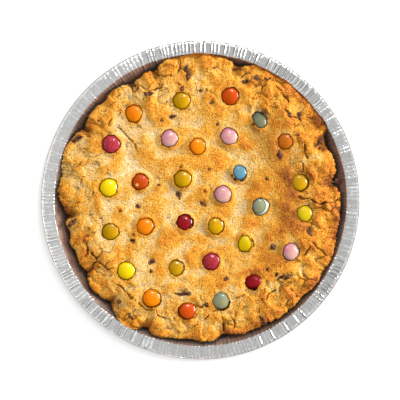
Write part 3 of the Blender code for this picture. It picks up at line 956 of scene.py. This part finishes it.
def doughLook():
    look = Look("dough")
    toast = look.attribute("toast")
    dark = look.attribute("dark")
    fine = look.speckle(0.0008, 2.0, 0.6)
    toast = toast + 0.35 * dark + 0.34 * (look.speckle(0.0022, 2.0) - 0.5)
    toast = toast + 0.46 * (look.speckle(0.006) - 0.5)
    colour = look.ramp(toast, [
        (0.05, (1.00, 0.75, 0.40)),
        (0.25, (1.00, 0.62, 0.185)),
        (0.42, (0.97, 0.475, 0.060)),
        (0.60, (0.91, 0.350, 0.022)),
        (0.78, (0.74, 0.230, 0.024)),
        (1.00, (0.30, 0.072, 0.011)),
    ])
    sandy = look.mix(fine.between(0.54, 0.37) * 0.85, colour, (0.56, 0.39, 0.22), "MULTIPLY")
    sandy = look.mix(fine.between(0.54, 0.68) * 0.30, sandy, (1.0, 0.68, 0.24))
    # fine cracks on the outer crust, darkened as painted shade
    level = look.speckle(0.013, 4.0, 0.6) - 0.5
    lines = level.math("ABSOLUTE", level)
    broken = look.speckle(0.0055, 2.0).between(0.53, 0.60) * look.attribute("outer")
    cracked = (1.0 - lines.between(0.006, 0.022)) * broken
    dark = dark.math("MAXIMUM", dark, 0.7 * cracked)
    # dark crust and pits, with the painted shade of hollows, cracks, clefts and sockets
    pitsAndPaintedShade = look.mix(dark, sandy, (0.10, 0.030, 0.004))
    grain = look.bump(look.speckle(0.0013, 2.0, 0.6) - 0.5 * cracked, 0.0010)
    look.feed(look.skin, {
        "Base Color": pitsAndPaintedShade,
        "Roughness": 0.62 + 0.2 * look.speckle(0.003),
        "Specular IOR Level": 0.15,
        "Normal": grain,
    })
    return look


def makeSockets():
    bm = bmesh.new()
    for name in places:
        lentil(bm, socketPlace(name), *socketSize[1:], button["sides"], button["rings"] // 3)
    return addObject("sockets", bm)


def darkenSockets(mesh):
    # the sockets' walls get painted shade, dark as the gap round each button
    points = np.array([(*vert.co, 1.0) for vert in mesh.vertices])
    dark = mesh.attributes["dark"].data
    for name in places:
        local = (points @ np.array(socketPlace(name).inverted()).T)[:, :3] / socketSize
        for index in np.flatnonzero(np.linalg.norm(local, axis=1) < 1.01):
            dark[int(index)].value = button["socketDark"]


def makeCookie():
    dough = Dough()
    dough.swell()
    for matrix in places.values():
        x, y, _ = matrix.translation
        dough.press(x, y, cookie["dimpleReach"], cookie["dimpleDepth"])
    for line, half in cracks:
        dough.crack(line, half * mm, crust["splitDeep"], crust["splitDark"])
    for across, down, half in chips:
        for beyond, *marks in (chip["swelling"], chip["hollow"]):
            dough.press(*spot(across, down), (half + beyond) * mm, *marks)
    for matrix, opening in zip(places.values(), openings):
        dough.collar(matrix, opening)
    dough.shape()
    dough.colour()
    dough.sides()
    look = doughLook()
    piece = newPiece("cookie_dough", dough.bm, look, "dough", "cookie")
    sockets = makeSockets()
    cut = piece.modifiers.new("cut", "BOOLEAN")
    cut.operation = "DIFFERENCE"
    cut.solver = "MANIFOLD"
    cut.object = sockets
    bpy.context.view_layer.update()
    graph = bpy.context.evaluated_depsgraph_get()
    finished = bpy.data.meshes.new_from_object(piece.evaluated_get(graph))
    piece.modifiers.clear()
    piece.data = finished
    darkenSockets(finished)
    smooth(finished, cookie["sharpFrom"])
    bpy.data.objects.remove(sockets)
    return piece


makeDish()
print("foil dish is made")
cookiePiece = makeCookie()
print("cookie is made:", len(cookiePiece.data.polygons), "faces")


# The chips, in the hollows that were pressed for them
def chipLook():
    look = Look("chocolate")
    bloom = look.speckle(0.0016, 4.0)
    look.feed(look.skin, {
        "Base Color": look.mix(bloom.between(0.42, 0.62), (0.045, 0.013, 0.005), (0.22, 0.085, 0.040)),
        "Roughness": 0.40 + 0.20 * look.speckle(0.003),
        "Specular IOR Level": 0.20,
        "Normal": look.bump(look.speckle(0.0012, 3.0), 0.0003),
    })
    return look


def makeChips():
    chance = random.Random(chip["seed"])
    bm = bmesh.new()
    for across, down, half in chips:
        x, y = spot(across, down)
        level = doughHeight(x, y, math.hypot(x, y), outlineAt(math.atan2(y, x)))
        level = min(level, cadBox[1].z - chip["belowTop"])
        turn = Matrix.Rotation(chance.uniform(0, math.pi), 4, "Z")
        parts = 2 if half > chip["brokenFrom"] else 1
        for part in range(parts):
            size = half * mm * (1.0 if parts == 1 else chip["partSize"])
            corners = []
            for _ in range(chip["corners"]):
                way = Vector([chance.gauss(0, 1) for _ in range(3)])
                corners.append(bm.verts.new(way.normalized()))
            hull = bmesh.ops.convex_hull(bm, input=corners)
            inside = [item for item in hull["geom_interior"] if isinstance(item, bmesh.types.BMVert)]
            bmesh.ops.delete(bm, geom=inside, context="VERTS")
            made = [vert for vert in corners if vert.is_valid]
            edges = list({edge for vert in made for edge in vert.link_edges})
            settings = {"offset": chip["rounding"], "segments": 2, "profile": 0.5, "material": -1}
            bevelled = bmesh.ops.bevel(bm, geom=edges, affect="EDGES", **settings)
            made = list({vert for face in bevelled["faces"] for vert in face.verts})
            spin = Matrix.Rotation(chance.uniform(-0.5, 0.5), 4, "Z")
            shape = Matrix.Diagonal((*(size * side for side in chip["shape"]), 1.0))
            aside = (part - 0.5 * (parts - 1)) * chip["partsApart"] * size
            aside = Vector((aside, chance.uniform(-0.5, 0.5) * size, 0.0))
            centre = Vector((x, y, level - size * chip["sunk"])) + turn.to_3x3() @ aside
            bmesh.ops.transform(bm, matrix=Matrix.Translation(centre) @ turn @ spin @ shape, verts=made)
    bmesh.ops.recalc_face_normals(bm, faces=bm.faces)
    piece = newPiece("chocolate_chips", bm, chipLook(), "chocolate", "cookie")
    smooth(piece.data, chip["sharpFrom"])


makeChips()
print("chips are made")


# The buttons: a sugar shell over chocolate
# Each shell's colour at the upper left and at the lower right: mostly painted shade at the upper left and
# painted light at the lower right, and pink's mottle too
shells = {
    "yellow_sugar": ((0.93, 0.68, 0.002), (0.94, 0.62, 0.003)),
    "olive_sugar": ((0.50, 0.255, 0.001), (0.69, 0.360, 0.001)),
    "orange_sugar": ((0.95, 0.215, 0.001), (0.93, 0.25, 0.002)),
    "brick_sugar": ((0.60, 0.072, 0.002), (0.58, 0.070, 0.002)),
    "red_sugar": ((0.22, 0.005, 0.006), (0.32, 0.006, 0.011)),
    "pink_sugar": ((0.56, 0.17, 0.28), (0.68, 0.42, 0.32)),
    "blue_sugar": ((0.11, 0.24, 0.28), (0.10, 0.27, 0.37)),
    "grey_sugar": ((0.19, 0.25, 0.20), (0.36, 0.34, 0.15)),
}
# A cracked shell: where the crack's arc has its middle and how far away it runs, in pixels
arcs = {"grey_sugar": (257.6, 205.4, 8.0)}
# A chipped one: where, and how far across
flecks = {"brick_sugar": (137.0, 184.8, 1.9)}
# Buttons whose shell is worn to paler specks, and how much
worn = {5: 0.9, 6: 0.3, 8: 0.3, 15: 0.5, 23: 0.4, 26: 0.6}
# Buttons darkened by painted shade, mostly where they sit deep in the dough, and how bright each stays
dull = {4: 0.45, 9: 0.60, 14: 0.85, 15: 0.93, 17: 0.62, 23: 0.84, 25: 0.88}


def shellLook(name):
    look = Look(name)
    first, second = shells[name]
    mottle = look.speckle(0.004, 4.0).between(0.3, 0.7)
    # painted shade at the upper left turning to painted light at the lower right, broken by mottle
    side = look.attribute("aside") + 0.5 * (mottle - 0.5)
    colour = look.mix(side.between(-0.2, 1.2), first, second)
    specks = (0.40 + 0.45 * look.speckle(0.0016, 3.0).between(0.48, 0.60)) * look.attribute("worn")
    pale = (0.4 * second[0] + 0.5, 0.8 * second[1] + 0.07, 0.8 * second[2] + 0.10)
    spotted = look.mix(specks, colour, pale)
    if name in arcs:
        away = look.away(*spot(*arcs[name][:2]))
        reach = arcs[name][2] * pixel
        far = away.between(reach + 3.0 * mm, reach + 3.3 * mm)
        lifted = away.between(reach, reach + 0.3 * mm) * (1.0 - far)
        spotted = look.mix(lifted * 0.7, spotted, (0.62, 0.70, 0.58))
        past = away.between(reach, reach + 0.4 * mm)
        line = away.between(reach - 0.6 * mm, reach - 0.1 * mm) * (1.0 - past)
        spotted = look.mix(line * 0.9, spotted, (0.05, 0.06, 0.04))
    if name in flecks:
        across, down, wide = flecks[name]
        away = look.away(*spot(across, down)) + 1.2 * mm * (look.speckle(0.0016) - 0.5)
        spotted = look.mix(away.between(wide * pixel, 0.6 * wide * pixel), spotted, (0.95, 0.62, 0.22))
    # darker as painted shade for buttons that sit deep
    sunkShaded = look.mix(look.attribute("dull"), (0.02, 0.02, 0.01), spotted)
    look.feed(look.skin, {
        "Base Color": look.mix(look.attribute("waist") * 0.75, sunkShaded, button["joinPaintedShade"], "MULTIPLY"),
        "Roughness": 0.30 + 0.12 * look.speckle(0.004),
        "Specular IOR Level": 0.04,
        "Coat Weight": 0.10 + 0.90 * look.attribute("gloss"),
        "Coat Roughness": 0.05,
        "Normal": look.bump(look.speckle(0.0016, 3.0), 0.00006),
    })
    return look


def makeButtons():
    slots = {part["node"]: part["material_slot"] for part in frame["record"]["subparts"]}
    looks = {name: shellLook(name) for name in shells}
    right, up, wide = button["northGlint"]
    start, over, strong = button["eastGlint"]
    for (name, matrix), opening in zip(places.items(), openings):
        bm = bmesh.new()
        for layer in ("aside", "worn", "dull", "gloss", "waist"):
            bm.verts.layers.float.new(layer)
        lightSideLayer, wornLayer, sunkShadeLayer, glossLayer, rimShadeLayer = bm.verts.layers.float.values()
        lentil(bm, matrix, button["radius"], button["halfHeight"], button["sides"], button["rings"])
        middle = matrix.translation
        bm.normal_update()
        for vert in bm.verts:
            away = (vert.co - middle) / button["radius"]
            # 0 at the upper left to 1 at the lower right: where the painted shade turns to painted light
            vert[lightSideLayer] = 0.5 + 0.35 * (away.x - away.y)
            vert[wornLayer] = worn.get(number(name), 0.0)
            vert[sunkShadeLayer] = dull.get(number(name), 1.0)
            # the coat is glossy only where the lamps' glints fall on the shell
            north = ease(1.3 - math.hypot(away.x - right, away.y - up) / wide)
            east = ease((away.x + 0.1 * away.y - start) / over)
            vert[glossLayer] = max(north, strong * east)
            edge = openingRadius(opening, math.atan2(away.y, away.x), middle.x, middle.y) / button["radius"]
            # painted shade round the edge of the opening that shows the shell
            vert[rimShadeLayer] = ease((math.hypot(away.x, away.y) - edge + 0.20) / 0.18)
            wave = noise.noise(vert.co / button["waveSpan"] + middle * 40.0)
            vert.co += vert.normal * button["waveHigh"] * wave
        slotName = slots[name]
        piece = newPiece("sugar_" + name, bm, looks[slotName], slotName, name)
        piece.data.shade_smooth()


makeButtons()
print("buttons are made")
